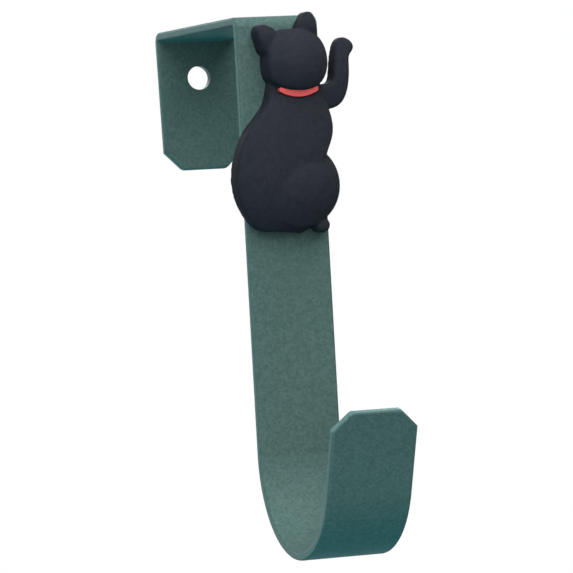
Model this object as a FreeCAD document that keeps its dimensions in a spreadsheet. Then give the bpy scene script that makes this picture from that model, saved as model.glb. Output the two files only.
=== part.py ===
import FreeCAD, Part
import math
import os

import Sketcher

# Over door hook: one folded strip of powder-coated steel, with a moulded cat and its collar on the front.
# Millimetres. +Z is up, -Y is the side of the room, +X is to the right of someone who faces the hook.
# The origin is the middle of the strip's underside, where the hook sits on the top of the door.

os.makedirs("parts", exist_ok=True)
doc = FreeCAD.newDocument("over_door_hook")
V = FreeCAD.Vector

# Driving sizes of the steel strip, in millimetres and degrees
STRIP_SIZES = (
    ("door_gap", 44.0, "clear gap between the two plates, for the thickest door"),
    ("strip_width", 16.0, "width of the steel strip"),
    ("sheet", 1.6, "thickness of the steel"),
    ("bend_inside", 0.5, "inside radius of the two folds over the door"),
    ("rear_length", 25.2, "underside of the fold to the end of the rear plate"),
    ("rear_lean", 2.8, "spring of the rear plate towards the door, degrees"),
    ("rear_clip", 3.5, "corner clipped off the rear plate"),
    ("bore", 4.6, "hole punched in the rear plate"),
    ("bore_drop", 7.4, "underside of the fold to the middle of the hole"),
    ("hook_drop", 78.4, "underside of the fold to the centre of the J"),
    ("hook_outside", 18.3, "outside radius of the J"),
    ("leg_length", 16.1, "straight part past the J"),
    ("leg_lean", 21.0, "lean of the straight part into the room, degrees"),
    ("leg_clip", 3.4, "corner clipped off the tip"),
    ("edge_break", 0.2, "bevel on the edges of the sheet"),
)

# Driving sizes of the figure, in millimetres and degrees. Across is from the strip's middle, to the right of
# someone who faces the hook, up is from the figure's foot, and depth is from the strip's face. A crown is a
# form's greatest depth. Its swelling meets the strip's face past the outline, by the form's margin.
FIGURE_SIZES = (
    ("figure_drop", 38.4, "underside of the fold down to the figure's foot"),
    ("rim_round", 0.9, "rounding between a form's side and its crown"),
    ("torso_across", -0.8, "middle of the torso"),
    ("torso_up", 14.4, "middle of the torso"),
    ("torso_half_width", 9.6, "middle of the torso to its side"),
    ("torso_half_height", 14.5, "middle of the torso to its foot or shoulders"),
    ("torso_crown", 5.9, "greatest depth of the torso"),
    ("torso_swell_drop", 1.5, "middle of the torso down to the middle of its swelling"),
    ("torso_side_margin", 2.6, "swelling past the sides"),
    ("torso_top_margin", 2.0, "swelling past the shoulders"),
    ("torso_foot_margin", 0.75, "swelling past the foot"),
    ("torso_lean", 15.5, "lean of the swelling to the right, degrees"),
    ("head_aside", 2.85, "middle of the torso to the middle of the head, to the right"),
    ("chin_drop", 3.2, "shoulders down to the chin"),
    ("head_half_width", 5.75, "middle of the head to its side"),
    ("head_half_height", 5.8, "middle of the head to its top or chin"),
    ("head_crown", 7.3, "greatest depth of the head"),
    ("head_swell_drop", 0.9, "middle of the head down to the middle of its swelling"),
    ("head_margin", 1.35, "swelling past the top"),
    ("arm_aside", 9.85, "middle of the torso to the middle of the arm, to the right"),
    ("elbow_drop", 6.65, "shoulders down to the underside of the elbow"),
    ("arm_half_width", 4.9, "middle of the arm to the side of its paw"),
    ("arm_half_height", 6.55, "middle of the arm to the top of its paw"),
    ("arm_crown", 3.9, "greatest depth of the raised arm"),
    ("arm_margin", 6.0, "swelling past the paw"),
    ("haunch_aside", 2.4, "middle of the torso to the middle of the haunch, to the right"),
    ("haunch_up", 8.7, "middle of the haunch"),
    ("haunch_radius", 7.75, "outline of the haunch"),
    ("haunch_crown", 6.3, "greatest depth of the haunch"),
    ("haunch_margin", 3.2, "swelling past the outline"),
    ("foot_aside", 6.5, "middle of the torso to the middle of the foot, to the right"),
    ("foot_up", 1.25, "middle of the foot"),
    ("foot_radius", 1.4, "outline of the foot"),
    ("foot_crown", 3.8, "greatest depth of the foot"),
    ("foot_margin", 0.7, "swelling past the outline"),
    ("ear_crown", 4.3, "greatest depth of the ears"),
    ("ear_margin", 1.0, "swelling past the roots"),
    ("collar_aside", 0.1, "middle of the head to the middle of the collar, to the left"),
    ("collar_band", 0.9, "chin down to the underside of the collar"),
    ("collar_past_head", 1.25, "side of the head out to the curve of the collar's underside"),
    ("collar_half_length", 3.75, "middle of the collar to its end"),
    ("collar_floor", 3.4, "depth of the floor of the collar's groove"),
    ("collar_crown", 5.8, "greatest depth of the collar's swelling"),
    ("collar_margin", 7.0, "swelling past the ring"),
    ("collar_fit", 0.08, "gap between the collar and the sides of its groove"),
    ("collar_end_round", 0.3, "rounding of the collar's two ends"),
)

# Guide points of the smooth outlines, anticlockwise, as shares of the form's half width and half height
GUIDES = {
    "torso": (
        (-1.16, -0.41), (-0.63, -0.99), (-0.26, -0.93), (0.79, -1.06), (0.76, -0.76), (0.67, -0.02),
        (1.10, 0.23), (0.80, 0.92), (-0.30, 1.09), (-0.19, 0.63), (-0.83, 0.35),
    ),
    "head": (
        (1.07, 0.86), (0.10, 0.97), (-0.86, 1.08), (-1.09, -0.37), (-0.80, -0.77), (-0.30, -0.96),
        (1.02, -0.93),
    ),
    "arm": (
        (-0.74, -1.01), (0.54, -1.01), (0.74, 0.12), (0.70, 0.51), (1.01, 0.63), (0.99, 0.93),
        (0.23, 1.16), (0.05, -0.08), (-0.02, -0.30), (-1.00, -0.26), (-1.03, -0.65),
    ),
}

# Pegs that each ear is drawn round, anticlockwise: across from the middle of the head, up from its top, and
# radius
EARS = {
    "left_ear": (("tip", -5.75, -0.5, 1.5), ("root", -4.8, -3.1, 1.75), ("side", -4.95, -1.0, 1.55)),
    "right_ear": (("tip", 3.0, 2.0, 1.05), ("side", 1.95, -1.0, 1.55), ("root", 3.1, -0.8, 1.45)),
}

# Middle of each form, across and up
TORSO_TOP = "(Sizes.torso_up + Sizes.torso_half_height)"
MIDDLES = {
    "torso": ("Sizes.torso_across", "Sizes.torso_up"),
    "head": (
        "(Sizes.torso_across + Sizes.head_aside)",
        "(%s - Sizes.chin_drop + Sizes.head_half_height)" % TORSO_TOP,
    ),
    "arm": (
        "(Sizes.torso_across + Sizes.arm_aside)",
        "(%s - Sizes.elbow_drop + Sizes.arm_half_height)" % TORSO_TOP,
    ),
    "haunch": ("(Sizes.torso_across + Sizes.haunch_aside)", "Sizes.haunch_up"),
    "foot": ("(Sizes.torso_across + Sizes.foot_aside)", "Sizes.foot_up"),
}
COLLAR_RADIUS = "(Sizes.head_half_width + Sizes.collar_past_head)"
MIDDLES["collar"] = (
    MIDDLES["head"][0],
    "(%s - Sizes.head_half_height - Sizes.collar_band + %s)" % (MIDDLES["head"][1], COLLAR_RADIUS),
)


def make_sheet():
    """Puts every driving size in the spreadsheet, one alias to each value."""
    sheet = doc.addObject("Spreadsheet::Sheet", "Sizes")
    rows = [(alias, value) for alias, value, note in STRIP_SIZES + FIGURE_SIZES]
    for form, points in GUIDES.items():
        for i, (across, up) in enumerate(points):
            rows += [("%s_guide%d_across" % (form, i), across), ("%s_guide%d_up" % (form, i), up)]
    for ear, pegs in EARS.items():
        for name, across, up, radius in pegs:
            stem = "%s_%s_" % (ear, name)
            rows += [(stem + "across", across), (stem + "up", up), (stem + "radius", radius)]
    for row, (alias, value) in enumerate(rows, 1):
        sheet.set("A%d" % row, alias)
        sheet.set("B%d" % row, str(value))
        sheet.setAlias("B%d" % row, alias)
    doc.recompute()


def number(owner, expression):
    """The value that an expression on the sheet has now."""
    value = owner.evalExpression(expression)
    return float(getattr(value, "Value", value))


def bind_all(owner, expressions):
    """Binds properties of an object to expressions on the sheet."""
    for prop, expression in expressions.items():
        owner.setExpression(prop, expression)


def belt(sketch, pegs):
    """Draws the closed outline of a belt round pegs, anticlockwise, with every size bound to the sheet.

    Each peg is (across, up, radius, side). A radius of None is a sharp corner.
    """
    centres = []
    bends = []
    for across, up, radius, side in pegs:
        centres.append(V(number(sketch, across), number(sketch, up), 0))
        bends.append(side * number(sketch, radius) if radius else 0.0)
    count = len(pegs)
    starts = []
    ends = []
    headings = []
    for i in range(count):
        j = (i + 1) % count
        span = centres[j] - centres[i]
        heading = math.atan2(span.y, span.x) - math.asin((bends[j] - bends[i]) / span.Length)
        left = V(-math.sin(heading), math.cos(heading), 0)
        starts.append(centres[i] - left * bends[i])
        ends.append(centres[j] - left * bends[j])
        headings.append(heading)
    lines = []
    for i in range(count):
        lines.append(sketch.addGeometry(Part.LineSegment(starts[i], ends[i]), False))
    for i in range(count):
        before = lines[i - 1]
        after = lines[i]
        across, up, radius, side = pegs[i]
        if radius is None:
            sketch.addConstraint(Sketcher.Constraint("Coincident", before, 2, after, 1))
            place = (after, 1)
        else:
            first = headings[i - 1] - side * math.pi / 2
            last = headings[i] - side * math.pi / 2
            if side < 0:
                first, last = last, first
            circle = Part.Circle(centres[i], V(0, 0, 1), abs(bends[i]))
            arc = sketch.addGeometry(Part.ArcOfCircle(circle, first, last), False)
            arc_in, arc_out = (1, 2) if side > 0 else (2, 1)
            sketch.addConstraint(Sketcher.Constraint("Tangent", before, 2, arc, arc_in))
            sketch.addConstraint(Sketcher.Constraint("Tangent", after, 1, arc, arc_out))
            bind_constraint(sketch, Sketcher.Constraint("Radius", arc, abs(bends[i])), "radius_%d" % i, radius)
            place = (arc, 3)
        across_at = Sketcher.Constraint("DistanceX", -1, 1, place[0], place[1], centres[i].x)
        up_at = Sketcher.Constraint("DistanceY", -1, 1, place[0], place[1], centres[i].y)
        bind_constraint(sketch, across_at, "across_%d" % i, across)
        bind_constraint(sketch, up_at, "up_%d" % i, up)
    return sketch


def bind_constraint(sketch, constraint, name, expression):
    """Adds a constraint under a name and binds it to an expression."""
    index = sketch.addConstraint(constraint)
    sketch.renameConstraint(index, name)
    sketch.setExpression("Constraints." + name, expression)


def spline_outline(name, form):
    """The smooth closed outline of a form, with each guide point bound to the sheet."""
    sketch = front_sketch(name)
    middle = MIDDLES[form]
    places = []
    for i in range(len(GUIDES[form])):
        share = "Sizes.%s_guide%d_" % (form, i)
        half = "Sizes.%s_half_" % form
        across = "%s + %sacross * %swidth" % (middle[0], share, half)
        up = "%s + %sup * %sheight" % (middle[1], share, half)
        places.append((across, up))
    points = [V(number(sketch, across), number(sketch, up), 0) for across, up in places]
    curve = sketch.addGeometry(Part.BSplineCurve(points, None, None, True, 3), False)
    sketch.exposeInternalGeometry(curve)
    for i, (across, up) in enumerate(places):
        guide = curve + 1 + i
        across_at = Sketcher.Constraint("DistanceX", -1, 1, guide, 3, points[i].x)
        up_at = Sketcher.Constraint("DistanceY", -1, 1, guide, 3, points[i].y)
        bind_constraint(sketch, across_at, "across_%d" % i, across)
        bind_constraint(sketch, up_at, "up_%d" % i, up)
    return sketch


def origin_plane(body, role):
    """One of a body's own origin planes."""
    return next(f for f in body.Origin.OriginFeatures if f.Role == role)


def body_sketch(body, name, role):
    """An empty sketch on one of a body's origin planes."""
    sketch = body.newObject("Sketcher::SketchObject", name)
    sketch.AttachmentSupport = [(origin_plane(body, role), "")]
    sketch.MapMode = "FlatFace"
    return sketch


def front_sketch(name):
    """An empty sketch that stands upright, with its depth towards the room."""
    sketch = doc.addObject("Sketcher::SketchObject", name)
    sketch.Placement = FreeCAD.Placement(V(0, 0, 0), FreeCAD.Rotation(V(1, 0, 0), 90))
    return sketch


def edge_names(shape, keep):
    """Names of the edges of a shape that a test keeps."""
    return ["Edge%d" % (i + 1) for i, edge in enumerate(shape.Edges) if keep(edge)]


def strip_pegs():
    """Pegs of the strip's side profile, across Y and up Z, anticlockwise from the fold at the rear."""
    rear = "(Sizes.door_gap / 2 - Sizes.bend_inside)"
    fold_up = "-Sizes.bend_inside"
    inside = "Sizes.bend_inside"
    outside = "Sizes.bend_inside + Sizes.sheet"
    hook = "(-Sizes.door_gap / 2 - Sizes.hook_outside)"
    hook_up = "-Sizes.hook_drop"
    hook_inside = "Sizes.hook_outside - Sizes.sheet"

    def rear_corner(off):
        run = "(Sizes.rear_length - Sizes.bend_inside)"
        across = "%s + (%s) * cos(Sizes.rear_lean) - %s * sin(Sizes.rear_lean)" % (rear, off, run)
        up = "%s - (%s) * sin(Sizes.rear_lean) - %s * cos(Sizes.rear_lean)" % (fold_up, off, run)
        return across, up, None, 1

    def leg_corner(off):
        across = "%s - (%s) * cos(Sizes.leg_lean) - Sizes.leg_length * sin(Sizes.leg_lean)" % (hook, off)
        up = "%s - (%s) * sin(Sizes.leg_lean) + Sizes.leg_length * cos(Sizes.leg_lean)" % (hook_up, off)
        return across, up, None, 1

    return (
        (rear, fold_up, outside, 1),
        ("-" + rear, fold_up, outside, 1),
        (hook, hook_up, hook_inside, -1),
        leg_corner(hook_inside),
        leg_corner("Sizes.hook_outside"),
        (hook, hook_up, "Sizes.hook_outside", 1),
        ("-" + rear, fold_up, inside, -1),
        (rear, fold_up, inside, -1),
        rear_corner(inside),
        rear_corner(outside),
    )


def make_strip():
    """The folded steel strip: side profile, clipped corners, punched hole and broken edges."""
    body = doc.addObject("PartDesign::Body", "Strip")
    body.Label = "door_hook_strip"
    pegs = strip_pegs()
    profile = belt(body_sketch(body, "StripProfile", "YZ_Plane"), pegs)
    pad = body.newObject("PartDesign::Pad", "StripPad")
    pad.Profile = (profile, [""])
    pad.Midplane = True
    pad.setExpression("Length", "Sizes.strip_width")
    doc.recompute()

    leg_end, rear_end = pegs[3:5], pegs[8:10]
    base = pad
    for name, size, end in (("RearClip", "Sizes.rear_clip", rear_end), ("LegClip", "Sizes.leg_clip", leg_end)):
        clip = body.newObject("PartDesign::Chamfer", name)
        clip.Base = (base, corner_edges(base, end))
        clip.setExpression("Size", size)
        doc.recompute()
        base = clip

    punch = body_sketch(body, "HolePunch", "XZ_Plane")
    punch.AttachmentOffset = FreeCAD.Placement(V(0, 0, 0), FreeCAD.Rotation(V(1, 0, 0), 1))
    bind_all(punch, {
        "AttachmentOffset.Base.y": "-Sizes.bend_inside",
        "AttachmentOffset.Base.z": "-(Sizes.door_gap / 2 - Sizes.bend_inside)",
        "AttachmentOffset.Rotation.Angle": "-Sizes.rear_lean * 1 deg",
    })
    circle = punch.addGeometry(Part.Circle(V(0, -1, 0), V(0, 0, 1), 1), False)
    punch.addConstraint(Sketcher.Constraint("PointOnObject", circle, 3, -2))
    bind_constraint(punch, Sketcher.Constraint("DistanceY", circle, 3, -1, 1, 1), "drop",
                    "Sizes.bore_drop - Sizes.bend_inside")
    bind_constraint(punch, Sketcher.Constraint("Diameter", circle, 2), "bore", "Sizes.bore")
    hole = body.newObject("PartDesign::Pocket", "Hole")
    hole.Profile = (punch, [""])
    hole.Type = "ThroughAll"
    doc.recompute()

    width = number(hole, "Sizes.strip_width")
    edges = body.newObject("PartDesign::Chamfer", "BrokenEdges")
    edges.Base = (hole, edge_names(hole.Shape, lambda edge: not crosses_strip(edge, width)))
    edges.setExpression("Size", "Sizes.edge_break")
    doc.recompute()
    return body


def crosses_strip(edge, width):
    """Whether an edge runs the whole way across the strip, where a flat run meets a bend."""
    spread = edge.BoundBox
    return spread.XLength > width * 0.999 and max(spread.YLength, spread.ZLength) < width * 0.001


def corner_edges(feature, end):
    """The two short edges at the corners of a plate whose side profile ends in these two pegs."""
    middle_y = sum(number(feature, corner[0]) for corner in end) / len(end)
    middle_z = sum(number(feature, corner[1]) for corner in end) / len(end)
    near = number(feature, "Sizes.sheet") / 4

    def at_end(edge):
        centre = edge.CenterOfMass
        return math.hypot(centre.y - middle_y, centre.z - middle_z) < near

    return edge_names(feature.Shape, at_end)


def swelling(name, middle, crown, reach):
    """A ball whose cap is a form's swelling: so deep at its middle, and down to the strip's face at its reach."""
    ball = doc.addObject("Part::Sphere", name)
    radius = "((%s) ^ 2 + %s ^ 2) / (2 * %s)" % (reach, crown, crown)
    bind_all(ball, {
        "Radius": radius,
        "Placement.Base.x": middle[0],
        "Placement.Base.y": "%s - %s" % (radius, crown),
        "Placement.Base.z": middle[1],
    })
    return ball


def half_ellipsoid(name, middle, reach, low, high):
    """The half of the torso's swelling above or below its middle."""
    dome = doc.addObject("Part::Ellipsoid", name)
    dome.Angle1 = low
    dome.Angle2 = high
    dome.Placement = FreeCAD.Placement(V(0, 0, 0), FreeCAD.Rotation(V(0, 1, 0), 1))
    bind_all(dome, {
        "Radius1": reach,
        "Radius2": "Sizes.torso_half_width + Sizes.torso_side_margin",
        "Radius3": "Sizes.torso_crown",
        "Placement.Base.x": middle[0],
        "Placement.Base.z": middle[1],
        "Placement.Rotation.Angle": "Sizes.torso_lean * 1 deg",
    })
    return dome


def torso_swelling():
    """The torso's leaning swelling, long above its middle and short below."""
    middle = (MIDDLES["torso"][0], "Sizes.torso_up - Sizes.torso_swell_drop")
    above = "Sizes.torso_half_height + Sizes.torso_swell_drop + Sizes.torso_top_margin"
    below = "Sizes.torso_half_height - Sizes.torso_swell_drop + Sizes.torso_foot_margin"
    whole = doc.addObject("Part::Fuse", "TorsoSwelling")
    whole.Base = half_ellipsoid("TorsoSwellingTop", middle, above, 0, 90)
    whole.Tool = half_ellipsoid("TorsoSwellingFoot", middle, below, -90, 0)
    return whole


def column(name, outline, depth):
    """An outline raised straight out from the strip's face."""
    raised = doc.addObject("Part::Extrusion", name)
    raised.Base = outline
    raised.DirMode = "Normal"
    raised.Solid = True
    raised.setExpression("LengthFwd", depth)
    return raised


def peg_column(name, middle, radius, depth):
    """A round column out from the strip's face."""
    raised = doc.addObject("Part::Cylinder", name)
    raised.Placement = FreeCAD.Placement(V(0, 0, 0), FreeCAD.Rotation(V(1, 0, 0), 90))
    bind_all(raised, {
        "Radius": radius,
        "Height": depth,
        "Placement.Base.x": middle[0],
        "Placement.Base.z": middle[1],
    })
    return raised


def crowned(name, raised, dome):
    """A column cut to its swelling, with the rim rounded."""
    blank = doc.addObject("Part::Common", name + "Blank")
    blank.Base = raised
    blank.Tool = dome
    doc.recompute()
    size = number(blank, "Sizes.rim_round")
    rounded = doc.addObject("Part::Fillet", name)
    rounded.Base = blank
    rounded.Edges = [(i, size, size) for i in rim_of(blank.Shape)]
    doc.recompute()
    return rounded


def rim_of(shape):
    """Numbers of the edges where the sides of a raised form meet its crown."""
    flush = -1e-3
    walls = [face for face in shape.Faces if face.BoundBox.YMax > flush > face.BoundBox.YMin]
    borders = [edge for wall in walls for edge in wall.Edges if edge.BoundBox.YMax < flush]
    return [i for i, edge in enumerate(shape.Edges, 1) if any(edge.isSame(border) for border in borders)]


def make_outlined_form(name, form, outline, middle, reach):
    """The head or the arm: a smooth outline under a round swelling."""
    crown = "Sizes.%s_crown" % form
    dome = swelling(name + "Swelling", middle, crown, reach)
    return crowned(name, column(name + "Column", outline, crown), dome)


def make_round_form(name, form):
    """The haunch or the foot: a round column under a round swelling."""
    size = "Sizes." + form
    dome = swelling(name + "Swelling", MIDDLES[form], size + "_crown", "%s_radius + %s_margin" % (size, size))
    raised = peg_column(name + "Column", MIDDLES[form], size + "_radius", size + "_crown")
    return crowned(name, raised, dome)


def make_ear(name, ear):
    """An ear: a belt round its pegs, with its swelling midway between the tip and the root."""
    places = {}
    for peg, across, up, radius in EARS[ear]:
        stem = "Sizes.%s_%s_" % (ear, peg)
        height = MIDDLES["head"][1] + " + Sizes.head_half_height + %sup" % stem
        places[peg] = (MIDDLES["head"][0] + " + %sacross" % stem, height)
    outline = front_sketch(name + "Outline")
    belt(outline, [(*place, "Sizes.%s_%s_radius" % (ear, peg), 1) for peg, place in places.items()])
    spans = ["(%s - (%s))" % pair for pair in zip(places["tip"], places["root"])]
    middle = tuple("(%s + %s) / 2" % pair for pair in zip(places["tip"], places["root"]))
    reach = "sqrt(%s ^ 2 + %s ^ 2) / 2 + Sizes.%s_root_radius + Sizes.ear_margin" % (*spans, ear)
    dome = swelling(name + "Swelling", middle, "Sizes.ear_crown", reach)
    return crowned(name, column(name + "Column", outline, "Sizes.ear_crown"), dome)


def collar_band(name, grow, drop, depth, head_outline):
    """A curved band under the chin, from the groove's floor outwards, with rounded ends."""
    disc = peg_column(name + "Disc", MIDDLES["collar"], "%s + %s" % (COLLAR_RADIUS, grow), depth)
    disc.setExpression("Placement.Base.y", "-Sizes.collar_floor")
    head = column(name + "Head", head_outline, "Sizes.collar_floor + " + depth)
    head.setExpression("Placement.Base.z", "-" + drop)
    below = doc.addObject("Part::Cut", name + "Below")
    below.Base = disc
    below.Tool = head
    half = "(Sizes.collar_half_length + %s)" % grow
    span = doc.addObject("Part::Box", name + "Span")
    bind_all(span, {
        "Length": "2 * " + half,
        "Width": depth,
        "Height": "Sizes.head_half_height + 2 * Sizes.collar_band",
        "Placement.Base.x": "%s - Sizes.collar_aside - %s" % (MIDDLES["collar"][0], half),
        "Placement.Base.y": "-Sizes.collar_floor - " + depth,
        "Placement.Base.z": "%s - Sizes.head_half_height - 2 * Sizes.collar_band" % MIDDLES["head"][1],
    })
    sharp = doc.addObject("Part::Common", name + "Sharp")
    sharp.Base = below
    sharp.Tool = span
    doc.recompute()
    size = number(sharp, "Sizes.collar_end_round")
    rounded = doc.addObject("Part::Fillet", name)
    rounded.Base = sharp
    rounded.Edges = [(i, size, size) for i, edge in enumerate(sharp.Shape.Edges, 1) if runs_out(edge)]
    doc.recompute()
    return rounded


def runs_out(edge):
    """Whether an edge runs straight out from the strip's face."""
    spread = edge.BoundBox
    return spread.YLength > max(spread.XLength, spread.ZLength) * 1000


def make_figure():
    """The moulded cat, with the groove that holds its collar, and the collar."""
    torso_outline = spline_outline("TorsoOutline", "torso")
    head_outline = spline_outline("HeadOutline", "head")
    arm_outline = spline_outline("ArmOutline", "arm")
    face = (MIDDLES["head"][0], MIDDLES["head"][1] + " - Sizes.head_swell_drop")
    head_reach = "Sizes.head_half_height + Sizes.head_swell_drop + Sizes.head_margin"
    arm_reach = "Sizes.arm_half_height + Sizes.arm_margin"
    forms = [
        crowned("Torso", column("TorsoColumn", torso_outline, "Sizes.torso_crown"), torso_swelling()),
        make_round_form("Haunch", "haunch"),
        make_round_form("Foot", "foot"),
        make_outlined_form("Arm", "arm", arm_outline, MIDDLES["arm"], arm_reach),
        make_outlined_form("Head", "head", head_outline, face, head_reach),
        make_ear("LeftEar", "left_ear"),
        make_ear("RightEar", "right_ear"),
    ]
    whole = forms[0]
    for form in forms[1:]:
        joined = doc.addObject("Part::Fuse", "With" + form.Name)
        joined.Refine = False
        joined.Base = whole
        joined.Tool = form
        whole = joined
    figure = doc.addObject("Part::Cut", "Figure")
    figure.Refine = False
    figure.Base = whole
    figure.Tool = collar_band("Groove", "Sizes.collar_fit", "0", "Sizes.head_crown", head_outline)

    collar = doc.addObject("Part::Common", "Collar")
    collar.Base = collar_band("CollarBlank", "0", "Sizes.collar_fit", "Sizes.collar_crown", head_outline)
    collar.Tool = swelling("CollarSwelling", MIDDLES["collar"], "Sizes.collar_crown",
                           COLLAR_RADIUS + " + Sizes.collar_margin")
    doc.recompute()
    return seat(figure, "cat_figure"), seat(collar, "collar")


def seat(feature, label):
    """Names a sub-part and sets it on the face of the strip."""
    feature.Label = label
    bind_all(feature, {
        "Placement.Base.y": "-(Sizes.door_gap / 2 + Sizes.sheet)",
        "Placement.Base.z": "-Sizes.figure_drop",
    })
    return feature


def check(feature):
    """Stops the build at a feature that failed or has no sound shape."""
    if "Invalid" in feature.State or "Error" in feature.State:
        raise RuntimeError("%s failed" % feature.Label)
    if hasattr(feature, "Shape") and (feature.Shape.isNull() or not feature.Shape.isValid()):
        raise RuntimeError("%s has no sound shape" % feature.Label)


make_sheet()
pieces = [make_strip(), *make_figure()]
doc.recompute()
for feature in doc.Objects:
    check(feature)
for piece in pieces:
    if len(piece.Shape.Solids) != 1:
        raise RuntimeError("%s is not one solid" % piece.Label)
    piece.Shape.exportStep("parts/%s.step" % piece.Label)
    print(piece.Label, round(piece.Shape.Volume, 1), "cubic millimetres")
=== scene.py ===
import math

import bmesh
import bpy
from mathutils import Matrix, Vector


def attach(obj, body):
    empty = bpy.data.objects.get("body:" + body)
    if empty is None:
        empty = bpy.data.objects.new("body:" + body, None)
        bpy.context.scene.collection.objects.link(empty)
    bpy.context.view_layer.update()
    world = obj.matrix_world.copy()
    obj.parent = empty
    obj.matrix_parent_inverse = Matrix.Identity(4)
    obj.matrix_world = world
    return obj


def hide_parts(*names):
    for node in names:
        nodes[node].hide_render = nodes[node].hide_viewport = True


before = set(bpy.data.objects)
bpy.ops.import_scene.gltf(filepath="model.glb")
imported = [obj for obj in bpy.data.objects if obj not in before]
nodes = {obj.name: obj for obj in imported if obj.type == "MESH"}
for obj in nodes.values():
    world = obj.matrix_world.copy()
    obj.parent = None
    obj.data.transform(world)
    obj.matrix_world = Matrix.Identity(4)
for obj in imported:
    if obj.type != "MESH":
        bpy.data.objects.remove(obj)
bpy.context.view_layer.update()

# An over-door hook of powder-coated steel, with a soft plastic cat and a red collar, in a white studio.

MM = 0.001


# Helpers

def linked(name, data):
    """A new object in the scene."""
    made = bpy.data.objects.new(name, data)
    bpy.context.scene.collection.objects.link(made)
    return made


def node(tree, kind, x, y, **values):
    """A node at its place in the tree's picture, with its inputs set by name."""
    made = tree.nodes.new(kind)
    made.location = (x, y)
    for name, value in values.items():
        made.inputs[name.replace("_", " ")].default_value = value
    return made


def maths(tree, operation, first, second, x, y):
    """A maths node on two values, each a socket or a number."""
    made = tree.nodes.new("ShaderNodeMath")
    made.operation = operation
    made.location = (x, y)
    for place, value in enumerate((first, second)):
        if isinstance(value, (int, float)):
            made.inputs[place].default_value = value
        else:
            tree.links.new(value, made.inputs[place])
    return made.outputs[0]


def vector_maths(tree, operation, x, y):
    """A vector maths node."""
    made = node(tree, "ShaderNodeVectorMath", x, y)
    made.operation = operation
    return made


def bake_modifiers(piece):
    """Turns a piece's modifiers into a plain mesh."""
    shown = piece.evaluated_get(bpy.context.evaluated_depsgraph_get())
    mesh = bpy.data.meshes.new_from_object(shown)
    piece.modifiers.clear()
    piece.data = mesh


def smooth_faces(piece):
    """Shades all the faces of a piece smoothly."""
    for face in piece.data.polygons:
        face.use_smooth = True


# Materials

FINE_DETAIL, BROAD_DETAIL = 1.5, 2.0
# Noise at or under the first shows the dark tone, and at or over the second the light one
MOTTLE_LOW, MOTTLE_HIGH = 0.35, 0.65


def texture_group():
    """A fine uneven skin: a mask for mottled colour and a height for the bump."""
    group = bpy.data.node_groups.new("fine texture", "ShaderNodeTree")
    for label in ("Fine scale", "Broad scale", "Broad share"):
        group.interface.new_socket(label, in_out="INPUT", socket_type="NodeSocketFloat")
    for label in ("Mottle", "Height"):
        group.interface.new_socket(label, in_out="OUTPUT", socket_type="NodeSocketFloat")
    start = node(group, "NodeGroupInput", -900, 0)
    end = node(group, "NodeGroupOutput", 300, 0)
    place = node(group, "ShaderNodeTexCoord", -700, 200)
    fine = node(group, "ShaderNodeTexNoise", -400, 150, Detail=FINE_DETAIL)
    broad = node(group, "ShaderNodeTexNoise", -400, -150, Detail=BROAD_DETAIL)
    mix = node(group, "ShaderNodeMix", 0, 100)
    links = group.links
    for noise, scale in ((fine, "Fine scale"), (broad, "Broad scale")):
        links.new(place.outputs["Object"], noise.inputs["Vector"])
        links.new(start.outputs[scale], noise.inputs["Scale"])
    links.new(start.outputs["Broad share"], mix.inputs["Factor"])
    links.new(fine.outputs[0], mix.inputs["A"])
    links.new(broad.outputs[0], mix.inputs["B"])
    links.new(mix.outputs["Result"], end.inputs["Mottle"])
    links.new(fine.outputs[0], end.inputs["Height"])
    return group


TEXTURE = texture_group()


def textured_material(
    name, dark, light, roughness, specular, fine_scale, broad_scale, broad_share, bump, depth
):
    """A coated or moulded surface: two tones mottled together, and a fine bump of the given depth."""
    material = bpy.data.materials.new(name)
    material.use_nodes = True
    tree = material.node_tree
    surface = tree.nodes["Principled BSDF"]
    skin = node(tree, "ShaderNodeGroup", -700, 0)
    skin.node_tree = TEXTURE
    skin.inputs["Fine scale"].default_value = fine_scale
    skin.inputs["Broad scale"].default_value = broad_scale
    skin.inputs["Broad share"].default_value = broad_share
    spread = node(tree, "ShaderNodeMapRange", -500, 200, From_Min=MOTTLE_LOW, From_Max=MOTTLE_HIGH)
    mix = node(tree, "ShaderNodeMix", -300, 200)
    mix.data_type = "RGBA"
    mix.inputs["A"].default_value = (*dark, 1)
    mix.inputs["B"].default_value = (*light, 1)
    relief = node(tree, "ShaderNodeBump", -300, -200, Strength=bump, Distance=depth)
    links = tree.links
    links.new(skin.outputs["Mottle"], spread.inputs["Value"])
    links.new(spread.outputs["Result"], mix.inputs["Factor"])
    links.new(mix.outputs["Result"], surface.inputs["Base Color"])
    links.new(skin.outputs["Height"], relief.inputs["Height"])
    links.new(relief.outputs["Normal"], surface.inputs["Normal"])
    surface.inputs["Roughness"].default_value = roughness
    surface.inputs["Specular IOR Level"].default_value = specular
    return material


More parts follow.
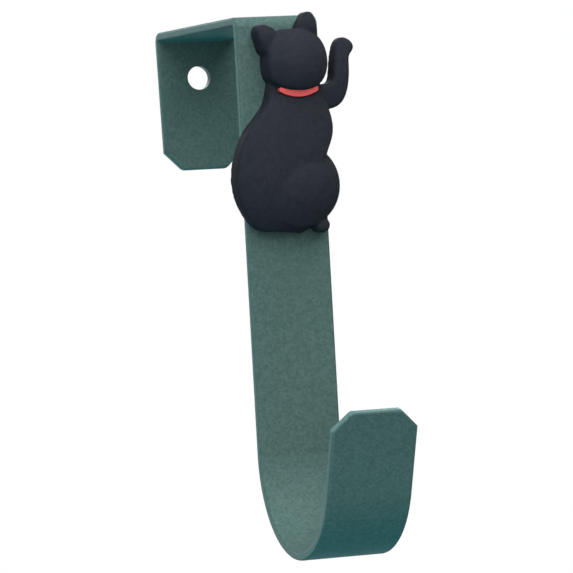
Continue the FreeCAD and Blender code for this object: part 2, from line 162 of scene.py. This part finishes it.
powder_coat = textured_material(
    "powder coat",
    dark=(0.061, 0.112, 0.103),
    light=(0.089, 0.153, 0.142),
    roughness=0.6,
    specular=0.05,
    fine_scale=2100,
    broad_scale=800,
    broad_share=0.3,
    bump=0.5,
    depth=0.1 * MM,
)
# The edges' colour is lighter and more greenish blue than the faces': a painted highlight along every edge
# of the sheet and in the hole
edge_painted_highlight = textured_material(
    "edge painted highlight",
    dark=(0.075, 0.160, 0.155),
    light=(0.100, 0.200, 0.195),
    roughness=0.45,
    specular=0.20,
    fine_scale=1900,
    broad_scale=800,
    broad_share=0.3,
    bump=0.2,
    depth=0.1 * MM,
)
charcoal_plastic = textured_material(
    "charcoal plastic",
    dark=(0.0200, 0.0220, 0.0285),
    light=(0.0260, 0.0280, 0.0360),
    roughness=0.7,
    specular=0.03,
    fine_scale=2600,
    broad_scale=900,
    broad_share=0.6,
    bump=0.10,
    depth=0.05 * MM,
)
red_plastic = textured_material(
    "red plastic",
    dark=(0.95, 0.095, 0.095),
    light=(1.0, 0.120, 0.115),
    roughness=0.4,
    specular=0.70,
    fine_scale=2600,
    broad_scale=900,
    broad_share=0.5,
    bump=0.10,
    depth=0.05 * MM,
)


# The cat and its collar: soft mouldings made from the CAD solids

# The size of a mesh cell and the rounds of smoothing
CAT_VOXEL, CAT_ROUNDS = 0.20 * MM, 6
COLLAR_VOXEL, COLLAR_ROUNDS = 0.06 * MM, 5
SMOOTHING = 0.5
# Points within this many cells of the flat back are laid on it
BACK_REACH = 1.2
JOIN_DISTANCE = 0.001 * MM


def merged_copy(source, name):
    """A copy of a CAD node with its loose triangles joined."""
    mesh = source.data.copy()
    mesh.name = name
    shape = bmesh.new()
    shape.from_mesh(mesh)
    bmesh.ops.remove_doubles(shape, verts=shape.verts, dist=JOIN_DISTANCE)
    shape.to_mesh(mesh)
    shape.free()
    mesh.materials.clear()
    return linked(name, mesh)


def soften(piece, voxel, rounds):
    """Rebuilds a moulding with an even mesh and soft creases, inside its box and with its back left flat."""
    places = [vertex.co for vertex in piece.data.vertices]
    low, high = (Vector(map(pick, *places)) for pick in (min, max))
    back = high.y
    remesh = piece.modifiers.new("even mesh", "REMESH")
    remesh.mode = "VOXEL"
    remesh.voxel_size = voxel
    smooth = piece.modifiers.new("soft creases", "SMOOTH")
    smooth.factor = SMOOTHING
    smooth.iterations = rounds
    bake_modifiers(piece)
    for vertex in piece.data.vertices:
        if vertex.co.y > back - voxel * BACK_REACH:
            vertex.co.y = back
        for axis in range(3):
            vertex.co[axis] = min(max(vertex.co[axis], low[axis]), high[axis])
    smooth_faces(piece)


cat = merged_copy(nodes["cat_figure"], "moulded_cat")
soften(cat, CAT_VOXEL, CAT_ROUNDS)
cat.data.materials.append(charcoal_plastic)
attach(cat, "root")
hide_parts("cat_figure")

collar = merged_copy(nodes["collar"], "red_collar")
soften(collar, COLLAR_VOXEL, COLLAR_ROUNDS)
collar.data.materials.append(red_plastic)
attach(collar, "root")
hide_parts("collar")


# The strip: a flat blank with clipped corners and a punched hole, folded along its path, in millimetres

# The underside of the top plate is at Z = 0, where the drops and the rear plate's length start
DOOR_GAP = 44.0
STRIP_WIDTH = 16.0
SHEET = 1.6
FOLD_INSIDE = 0.5
REAR_LENGTH, REAR_LEAN, REAR_CLIP = 25.2, math.radians(2.8), 3.5
HOLE, HOLE_DROP, HOLE_SIDES = 4.6, 7.4, 64
BEND_DROP, BEND_OUTSIDE = 78.4, 18.3
LEG_LENGTH, LEG_LEAN, LEG_CLIP = 16.1, math.radians(21.0), 3.4
EDGE_ROUND = 0.45
FOLD_STEPS, BEND_STEPS, ROUND_STEPS = 12, 72, 3
# Beside each bend and rounding, a row of points this close keeps the flat face flat
SUPPORT = 0.05
# Rows at the same place to this many decimals are one row
DECIMALS = 6
# A face of the flat blank is part of its edge when its normal rises less than this
EDGE_RISE = 0.55
SHARP_ANGLE = math.radians(35)


def arc(centre, radius, first, last, steps):
    """Points of an arc in the side view, from one angle to another."""
    angles = [first + (last - first) * i / steps for i in range(steps + 1)]
    return [Vector((0, centre[0] + radius * math.cos(a), centre[1] + radius * math.sin(a))) for a in angles]


def strip_path():
    """The middle line of the sheet in the side view, in runs from the end of the rear plate to the tip."""
    fold_radius = FOLD_INSIDE + SHEET / 2
    corner = DOOR_GAP / 2 - FOLD_INSIDE
    middle = (-DOOR_GAP / 2 - BEND_OUTSIDE, -BEND_DROP)
    rear = arc((corner, -FOLD_INSIDE), fold_radius, -REAR_LEAN, math.pi / 2, FOLD_STEPS)
    front = arc((-corner, -FOLD_INSIDE), fold_radius, math.pi / 2, math.pi, FOLD_STEPS)
    bend = arc(middle, BEND_OUTSIDE - SHEET / 2, 0, -math.pi + LEG_LEAN, BEND_STEPS)
    start = rear[0] - Vector((0, math.sin(REAR_LEAN), math.cos(REAR_LEAN))) * (REAR_LENGTH - FOLD_INSIDE)
    tip = bend[-1] + Vector((0, -math.sin(LEG_LEAN), math.cos(LEG_LEAN))) * LEG_LENGTH
    return [start], rear, front, bend, [tip]


def strip_stations():
    """Places along the flat blank that need a row of points, and the blank's length."""
    travelled = 0.0
    before = None
    bends = []
    for run in strip_path():
        for i, point in enumerate(run):
            if before is not None:
                travelled += (point - before).length
            before = point
            bends.append(travelled)
            if len(run) > 1 and i in (0, len(run) - 1):
                bends.append(travelled + (-SUPPORT if i == 0 else SUPPORT))
    length = travelled
    ends = [EDGE_ROUND * (1 - math.sin(i * math.pi / 2 / ROUND_STEPS)) for i in range(ROUND_STEPS + 1)]
    ends.append(EDGE_ROUND + SUPPORT)
    rows = bends[1:-1] + ends + [length - end for end in ends] + [REAR_CLIP, length - LEG_CLIP]
    return sorted(set(round(row, DECIMALS) for row in rows)), length


def ring(half_width, inset):
    """One row of points round the sheet: a rectangle with rounded corners, drawn in by an inset."""
    radius = EDGE_ROUND - inset
    across = half_width - EDGE_ROUND
    over = SHEET / 2 - EDGE_ROUND
    points = []
    for quarter in range(4):
        side_x = 1 if quarter in (0, 3) else -1
        side_z = 1 if quarter < 2 else -1
        swing = [quarter * math.pi / 2 + i * math.pi / 2 / ROUND_STEPS for i in range(ROUND_STEPS + 1)]
        middle_x, middle_z = side_x * across, side_z * over
        corner = [(middle_x + radius * math.cos(a), middle_z + radius * math.sin(a)) for a in swing]
        (first_x, first_z), (last_x, last_z) = corner[0], corner[-1]
        if quarter % 2 == 0:
            before, after = (first_x, first_z - SUPPORT * side_z), (last_x - SUPPORT * side_x, last_z)
        else:
            before, after = (first_x - SUPPORT * side_x, first_z), (last_x, last_z - SUPPORT * side_z)
        points += [before, *corner, after]
    return points


def flat_blank():
    """The flat sheet: across X, along Y, thick in Z."""
    rows, length = strip_stations()
    shape = bmesh.new()
    before = None
    for along in rows:
        to_end = max(0.0, min(along, length - along))
        cut = max(0.0, REAR_CLIP - along, LEG_CLIP - (length - along))
        sunk = max(0.0, 1 - to_end / EDGE_ROUND)
        inset = EDGE_ROUND * (1 - math.sqrt(1 - sunk ** 2))
        made = [shape.verts.new((x, along, z)) for x, z in ring(STRIP_WIDTH / 2 - cut, inset)]
        if before:
            for i in range(len(made)):
                j = (i + 1) % len(made)
                shape.faces.new((before[i], before[j], made[j], made[i]))
        else:
            shape.faces.new(made)
        before = made
    shape.faces.new(before)
    bmesh.ops.recalc_face_normals(shape, faces=shape.faces)
    bmesh.ops.scale(shape, vec=(MM, MM, MM), verts=shape.verts)
    mesh = bpy.data.meshes.new("folded_strip")
    shape.to_mesh(mesh)
    shape.free()
    return linked("folded_strip", mesh)


def punch_hole(blank):
    """Cuts the screw hole through the rear plate of the flat blank."""
    shape = bmesh.new()
    bmesh.ops.create_cone(
        shape,
        cap_ends=True,
        segments=HOLE_SIDES,
        radius1=HOLE / 2 * MM,
        radius2=HOLE / 2 * MM,
        depth=3 * SHEET * MM,
        matrix=Matrix.Translation((0, (REAR_LENGTH - HOLE_DROP) * MM, 0)),
    )
    mesh = bpy.data.meshes.new("punch")
    shape.to_mesh(mesh)
    shape.free()
    punch = linked("punch", mesh)
    hole = blank.modifiers.new("hole", "BOOLEAN")
    hole.object = punch
    hole.solver = "EXACT"
    bake_modifiers(blank)
    bpy.data.objects.remove(punch)


def mark_edges(blank):
    """Marks the faces on the edges of the sheet and in the hole, which get a lighter colour as a painted
    highlight.
    """
    marks = blank.data.attributes.new("edge", "BOOLEAN", "FACE")
    for face in blank.data.polygons:
        marks.data[face.index].value = abs(face.normal.z) < EDGE_RISE


def fold_tree():
    """Geometry nodes that fold a flat blank along a path and give its faces their coat and its edges a
    lighter colour, a painted highlight.
    """
    tree = bpy.data.node_groups.new("fold along a path", "GeometryNodeTree")
    tree.is_modifier = True
    sockets = tree.interface
    sockets.new_socket("Blank", in_out="INPUT", socket_type="NodeSocketGeometry")
    sockets.new_socket("Path", in_out="INPUT", socket_type="NodeSocketObject")
    sockets.new_socket("Face coat", in_out="INPUT", socket_type="NodeSocketMaterial")
    sockets.new_socket("Edge coat", in_out="INPUT", socket_type="NodeSocketMaterial")
    sockets.new_socket("Folded", in_out="OUTPUT", socket_type="NodeSocketGeometry")
    start = node(tree, "NodeGroupInput", -1000, 0)
    end = node(tree, "NodeGroupOutput", 1000, 0)
    links = tree.links

    # The blank's Y is the way along the path
    place = node(tree, "GeometryNodeInputPosition", -1000, -200)
    split = node(tree, "ShaderNodeSeparateXYZ", -800, -200)
    path = node(tree, "GeometryNodeObjectInfo", -800, 200)
    sample = node(tree, "GeometryNodeSampleCurve", -400, 100)
    sample.mode = "LENGTH"
    links.new(place.outputs[0], split.inputs[0])
    links.new(start.outputs["Path"], path.inputs["Object"])
    links.new(path.outputs["Geometry"], sample.inputs["Curves"])
    links.new(split.outputs["Y"], sample.inputs["Length"])

    # Its X stays across, and its Z goes square to the path
    across = node(tree, "ShaderNodeCombineXYZ", -400, -200)
    square = vector_maths(tree, "CROSS_PRODUCT", -200, -100)
    square.inputs[1].default_value = (1, 0, 0)
    lift = vector_maths(tree, "SCALE", 0, -100)
    aside = vector_maths(tree, "ADD", 0, 100)
    whole = vector_maths(tree, "ADD", 200, 0)
    links.new(split.outputs["X"], across.inputs["X"])
    links.new(sample.outputs["Tangent"], square.inputs[0])
    links.new(square.outputs[0], lift.inputs[0])
    links.new(split.outputs["Z"], lift.inputs["Scale"])
    links.new(sample.outputs["Position"], aside.inputs[0])
    links.new(across.outputs[0], aside.inputs[1])
    links.new(aside.outputs[0], whole.inputs[0])
    links.new(lift.outputs[0], whole.inputs[1])

    # Folded, the sheet gets the coat of its faces, and then the lighter colour of its edges, which is
    # painted highlight
    move = node(tree, "GeometryNodeSetPosition", 400, 0)
    real = node(tree, "GeometryNodeRealizeInstances", 550, 0)
    face_coat = node(tree, "GeometryNodeSetMaterial", 700, 0)
    edge = node(tree, "GeometryNodeInputNamedAttribute", 700, -200, Name="edge")
    edge.data_type = "BOOLEAN"
    edge_highlight_node = node(tree, "GeometryNodeSetMaterial", 850, 0)
    links.new(start.outputs["Blank"], move.inputs["Geometry"])
    links.new(whole.outputs[0], move.inputs["Position"])
    links.new(move.outputs[0], real.inputs[0])
    links.new(real.outputs[0], face_coat.inputs["Geometry"])
    links.new(start.outputs["Face coat"], face_coat.inputs["Material"])
    links.new(face_coat.outputs[0], edge_highlight_node.inputs["Geometry"])
    links.new(edge.outputs["Attribute"], edge_highlight_node.inputs["Selection"])
    links.new(start.outputs["Edge coat"], edge_highlight_node.inputs["Material"])
    links.new(edge_highlight_node.outputs[0], end.inputs["Folded"])
    return tree


def path_curve():
    """The path as a curve for the fold."""
    points = [point for run in strip_path() for point in run]
    data = bpy.data.curves.new("strip path", "CURVE")
    data.dimensions = "3D"
    line = data.splines.new("POLY")
    line.points.add(len(points) - 1)
    for place, point in zip(line.points, points):
        place.co = (*(point * MM), 1)
    return linked("strip path", data)


def fold(blank):
    """Folds the blank along its path and bakes it."""
    tree = fold_tree()
    path = path_curve()
    inputs = {item.name: item.identifier for item in tree.interface.items_tree if item.in_out == "INPUT"}
    modifier = blank.modifiers.new("fold", "NODES")
    modifier.node_group = tree
    modifier[inputs["Path"]] = path
    modifier[inputs["Face coat"]] = powder_coat
    # The edges get the lighter material, a painted highlight
    modifier[inputs["Edge coat"]] = edge_painted_highlight
    bake_modifiers(blank)
    bpy.data.objects.remove(path)
    smooth_faces(blank)
    blank.data.set_sharp_from_angle(angle=SHARP_ANGLE)


strip = flat_blank()
punch_hole(strip)
mark_edges(strip)
fold(strip)
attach(strip, "root")
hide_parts("door_hook_strip")


# Studio, in metres and watts

SURROUND_COLOUR, SURROUND_STRENGTH = (0.5, 0.9, 1.0), 0.04
FLOOR_LEVEL, FLOOR_REACH, FLOOR_GREY, FLOOR_GLOW = -1.5, 20.0, 0.06, 0.995
LIT_PLACE = Vector((0, -22, -45)) * MM

# The photo's camera, fitted to the outlines of the hook, with its angles in radians. CAMERA_ASIDE and
# CAMERA_OVER are how far the aim is to the right of the picture's middle and over it. At the aim, a
# millimetre is PIXELS_PER_MM of the photo's pixels wide. The sensor's width is in millimetres.
CAMERA_TURN, CAMERA_TILT, CAMERA_ROLL = 0.351056885, 0.018497823, 0.0565023538
CAMERA_AIM = Vector((0, -23.6, -50)) * MM
CAMERA_ASIDE, CAMERA_OVER = 1.01323197 * MM, -1.90889318 * MM
CAMERA_DISTANCE = 700 * MM
PHOTO_WIDTH = 573
PIXELS_PER_MM = 5.46048
SENSOR_WIDTH = 36


def seen_directly(tree):
    """One for camera rays, reflections and rays through glass, and nought for the rest."""
    path = node(tree, "ShaderNodeLightPath", -600, 300)
    camera = path.outputs["Is Camera Ray"]
    seen = maths(tree, "MAXIMUM", camera, path.outputs["Is Glossy Ray"], -400, 300)
    return maths(tree, "MAXIMUM", seen, path.outputs["Is Transmission Ray"], -200, 300)


def make_world():
    """A surround that looks white and gives a weak greenish blue light."""
    world = bpy.data.worlds.new("studio")
    bpy.context.scene.world = world
    world.use_nodes = True
    tree = world.node_tree
    tree.nodes.clear()
    lit = node(tree, "ShaderNodeBackground", 0, 0, Color=(*SURROUND_COLOUR, 1), Strength=SURROUND_STRENGTH)
    white = node(tree, "ShaderNodeBackground", 0, -200, Color=(1, 1, 1, 1), Strength=1.0)
    mix = node(tree, "ShaderNodeMixShader", 200, 0)
    out = node(tree, "ShaderNodeOutputWorld", 400, 0)
    tree.links.new(seen_directly(tree), mix.inputs[0])
    tree.links.new(lit.outputs[0], mix.inputs[1])
    tree.links.new(white.outputs[0], mix.inputs[2])
    tree.links.new(mix.outputs[0], out.inputs["Surface"])


def make_floor():
    """A floor far below, white to look at and dark to the lights, which keeps a faint shadow."""
    mesh = bpy.data.meshes.new("floor")
    signs = (-1, -1), (1, -1), (1, 1), (-1, 1)
    corners = [(x * FLOOR_REACH, y * FLOOR_REACH, FLOOR_LEVEL) for x, y in signs]
    mesh.from_pydata(corners, [], [(0, 1, 2, 3)])
    material = bpy.data.materials.new("pale floor")
    material.use_nodes = True
    tree = material.node_tree
    tree.nodes.clear()
    matte = node(tree, "ShaderNodeBsdfDiffuse", 0, 0, Color=(FLOOR_GREY, FLOOR_GREY, FLOOR_GREY, 1))
    glow = node(tree, "ShaderNodeEmission", 0, -200)
    add = node(tree, "ShaderNodeAddShader", 200, 0)
    out = node(tree, "ShaderNodeOutputMaterial", 400, 0)
    strength = maths(tree, "MULTIPLY", seen_directly(tree), FLOOR_GLOW, -100, 200)
    tree.links.new(strength, glow.inputs["Strength"])
    tree.links.new(matte.outputs[0], add.inputs[0])
    tree.links.new(glow.outputs[0], add.inputs[1])
    tree.links.new(add.outputs[0], out.inputs["Surface"])
    mesh.materials.append(material)
    linked("floor", mesh)


def soft_light(name, turn, rise, distance, size, power, colour=(1, 1, 1)):
    """A round soft light aimed at the hook. Turn is to the right of straight ahead, rise is above level."""
    turn, rise = math.radians(turn), math.radians(rise)
    out = Vector((math.sin(turn) * math.cos(rise), -math.cos(turn) * math.cos(rise), math.sin(rise)))
    data = bpy.data.lights.new(name, "AREA")
    data.shape = "DISK"
    data.size = size
    data.energy = power
    data.color = colour
    lamp = linked(name, data)
    lamp.visible_camera = False
    lamp.location = LIT_PLACE + out * distance
    lamp.rotation_mode = "QUATERNION"
    lamp.rotation_quaternion = (-out).to_track_quat("-Z", "Y")


def make_camera():
    """The camera of the photo: a long lens from the left, a little above, turned slightly."""
    level = math.cos(CAMERA_TILT)
    look = Vector((math.sin(CAMERA_TURN) * level, math.cos(CAMERA_TURN) * level, -math.sin(CAMERA_TILT)))
    right = Vector((math.cos(CAMERA_TURN), -math.sin(CAMERA_TURN), 0))
    up = right.cross(look)
    across = right * math.cos(CAMERA_ROLL) - up * math.sin(CAMERA_ROLL)
    upward = right * math.sin(CAMERA_ROLL) + up * math.cos(CAMERA_ROLL)
    data = bpy.data.cameras.new("camera")
    data.sensor_width = SENSOR_WIDTH
    data.lens = SENSOR_WIDTH * PIXELS_PER_MM * CAMERA_DISTANCE / MM / PHOTO_WIDTH
    data.clip_start, data.clip_end = 0.01, 100
    camera = linked("camera", data)
    camera.matrix_world = Matrix((
        (across.x, upward.x, -look.x, 0),
        (across.y, upward.y, -look.y, 0),
        (across.z, upward.z, -look.z, 0),
        (0, 0, 0, 1),
    ))
    camera.location = CAMERA_AIM - look * CAMERA_DISTANCE - across * CAMERA_ASIDE - upward * CAMERA_OVER
    bpy.context.scene.camera = camera


make_world()
make_floor()
soft_light("key", turn=-3, rise=58, distance=0.9, size=1.5, power=18.5)
soft_light("front", turn=-22, rise=2, distance=1.0, size=0.5, power=2.9)
soft_light("back", turn=165, rise=20, distance=1.0, size=0.8, power=6.0)
soft_light("side", turn=-80, rise=-5, distance=0.9, size=0.4, power=1.3, colour=(0.2, 0.9, 1.0))
soft_light("below", turn=-10, rise=-84, distance=0.45, size=0.25, power=0.9, colour=(0.0, 0.83, 1.0))
make_camera()
bpy.context.scene.view_settings.view_transform = "Standard"
